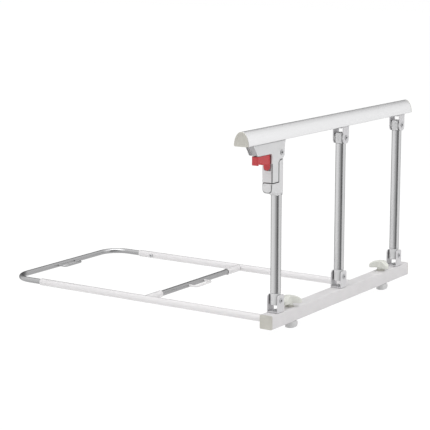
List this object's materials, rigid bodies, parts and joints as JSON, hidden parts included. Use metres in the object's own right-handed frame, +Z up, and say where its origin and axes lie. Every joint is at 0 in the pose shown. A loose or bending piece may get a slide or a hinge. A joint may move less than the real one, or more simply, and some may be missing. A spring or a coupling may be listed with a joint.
{
  "type": "folding bed guard rail",
  "caption": "Bed guard rail whose handrail and round posts fold down along a square base beam, with a red latch trigger, winged clamp knobs and a tubular frame for under the mattress.",
  "frame": {"origin": "middle of the footprint in X and Y, at the level of the clamp jaws' undersides", "axes": "+Z up, +X along the beam from the latch end to the rear, +Y from the rail toward the bed"},
  "size_m": [0.822, 0.847, 0.4978],
  "materials": {
    "beam_paint": "satin pale grey paint",
    "rail_paint": "satin near-white paint",
    "cap_cream": "matte cream-grey plastic",
    "post_aluminium": "satin anodised aluminium",
    "cast_grey": "fine matte grey paint on a casting",
    "bracket_steel": "satin grey paint on bent sheet",
    "fastener_steel": "satin bare steel",
    "frame_white": "gloss white paint",
    "frame_steel": "satin bare steel",
    "knob_ivory": "satin ivory plastic",
    "trigger_red": "satin red plastic",
    "jaw_white": "matte pale plastic",
    "washer_white": "matte pale plastic"
  },
  "bodies": {
    "base": {"base_beam": "beam_paint", "beam_cap_front": "cap_cream", "beam_cap_rear": "cap_cream", "lower_bracket_front": "bracket_steel", "lower_bracket_middle": "bracket_steel", "lower_bracket_rear": "bracket_steel", "lower_bracket_screw_front": "fastener_steel", "lower_bracket_screw_middle": "fastener_steel", "lower_bracket_screw_rear": "fastener_steel", "lower_pivot_pin_front": "fastener_steel", "lower_pivot_pin_middle": "fastener_steel", "lower_pivot_pin_rear": "fastener_steel", "side_tube_front": "frame_white", "side_tube_rear": "frame_white", "lock_screw_front": "fastener_steel", "lock_screw_rear": "fastener_steel", "cross_bar_socket_front": "frame_white", "cross_bar_socket_rear": "frame_white", "cross_bar": "frame_steel", "cross_bar_loop": "frame_white", "clamp_collar_front": "cap_cream", "clamp_collar_rear": "cap_cream"},
    "front_post": {"post_tube_front": "post_aluminium", "post_foot_front": "cast_grey", "post_head_front": "cast_grey", "latch_sleeve": "cast_grey"},
    "middle_post": {"post_tube_middle": "post_aluminium", "post_foot_middle": "cast_grey", "post_head_middle": "cast_grey", "head_washer_middle_outer": "washer_white", "head_washer_middle_inner": "washer_white"},
    "rear_post": {"post_tube_rear": "post_aluminium", "post_foot_rear": "cast_grey", "post_head_rear": "cast_grey", "head_washer_rear_outer": "washer_white", "head_washer_rear_inner": "washer_white"},
    "handrail": {"handrail": "rail_paint", "rail_cap_front": "cap_cream", "rail_cap_rear": "cap_cream", "upper_bracket_middle": "bracket_steel", "upper_bracket_rear": "bracket_steel", "upper_bracket_screw_middle": "fastener_steel", "upper_bracket_screw_rear": "fastener_steel", "upper_pivot_pin_front": "fastener_steel", "upper_pivot_pin_middle": "fastener_steel", "upper_pivot_pin_rear": "fastener_steel", "latch_housing": "cast_grey", "housing_screw_front": "fastener_steel", "housing_screw_rear": "fastener_steel", "latch_spring": "fastener_steel"},
    "trigger": {"release_trigger": "trigger_red"},
    "latch_bolt": {"latch_bolt": "fastener_steel"},
    "knob_front": {"clamp_knob_front": "knob_ivory"},
    "knob_rear": {"clamp_knob_rear": "knob_ivory"},
    "stud_front": {"clamp_stud_front": "fastener_steel"},
    "stud_rear": {"clamp_stud_rear": "fastener_steel"},
    "jaw_front": {"clamp_jaw_front": "jaw_white"},
    "jaw_rear": {"clamp_jaw_rear": "jaw_white"},
    "frame_end": {"frame_end_tube": "frame_steel", "frame_end_loop": "frame_steel"}
  },
  "joints": [
    {"name": "front_post_swing", "type": "hinge", "parent": "base", "child": "front_post", "pos_m": [-0.257, -0.39544, 0.0805], "axis": [0, -1, 0], "range_deg": [0, 80]},
    {"name": "handrail_level", "type": "hinge", "parent": "front_post", "child": "handrail", "pos_m": [-0.257, -0.39544, 0.435], "axis": [0, -1, 0], "range_deg": [-80, 0]},
    {"name": "middle_post_swing", "type": "hinge", "parent": "base", "child": "middle_post", "pos_m": [0.05, -0.39544, 0.0805], "axis": [0, -1, 0], "range_deg": [0, 80]},
    {"name": "rear_post_swing", "type": "hinge", "parent": "base", "child": "rear_post", "pos_m": [0.357, -0.39544, 0.0805], "axis": [0, -1, 0], "range_deg": [0, 80]},
    {"name": "trigger_squeeze", "type": "slide", "parent": "handrail", "child": "trigger", "axis": [1, 0, 0], "range_m": [0, 0.007], "stiffness_N_per_m": 900, "springref_m": -0.004},
    {"name": "latch_bolt_lift", "type": "slide", "parent": "handrail", "child": "latch_bolt", "axis": [0, 0, 1], "range_m": [0, 0.007], "deforming": ["latch_spring"]},
    {"name": "frame_end_slide", "type": "slide", "parent": "base", "child": "frame_end", "axis": [0, 1, 0], "range_m": [-0.043, 0.12]},
    {"name": "knob_front_turn", "type": "hinge", "parent": "base", "child": "knob_front", "pos_m": [-0.193, -0.39544, 0.0515], "axis": [0, 0, 1], "range_deg": [0, 2880]},
    {"name": "stud_front_drop", "type": "slide", "parent": "base", "child": "stud_front", "axis": [0, 0, -1], "range_m": [0, 0.01]},
    {"name": "jaw_front_turn", "type": "hinge", "parent": "stud_front", "child": "jaw_front", "pos_m": [-0.193, -0.39544, 0.0075], "axis": [0, 0, 1], "range_deg": [0, 90]},
    {"name": "knob_rear_turn", "type": "hinge", "parent": "base", "child": "knob_rear", "pos_m": [0.28, -0.39544, 0.0515], "axis": [0, 0, 1], "range_deg": [0, 2880]},
    {"name": "stud_rear_drop", "type": "slide", "parent": "base", "child": "stud_rear", "axis": [0, 0, -1], "range_m": [0, 0.01]},
    {"name": "jaw_rear_turn", "type": "hinge", "parent": "stud_rear", "child": "jaw_rear", "pos_m": [0.28, -0.39544, 0.0075], "axis": [0, 0, 1], "range_deg": [0, 90]}
  ],
  "couplings": [
    {"joint": "handrail_level", "follows": "front_post_swing", "ratio": -1},
    {"joint": "middle_post_swing", "follows": "front_post_swing", "ratio": 1},
    {"joint": "rear_post_swing", "follows": "front_post_swing", "ratio": 1},
    {"joint": "latch_bolt_lift", "follows": "trigger_squeeze", "ratio": 1},
    {"joint": "stud_front_drop", "follows": "knob_front_turn", "m_per_rad": 0.0001989},
    {"joint": "stud_rear_drop", "follows": "knob_rear_turn", "m_per_rad": 0.0001989}
  ]
}
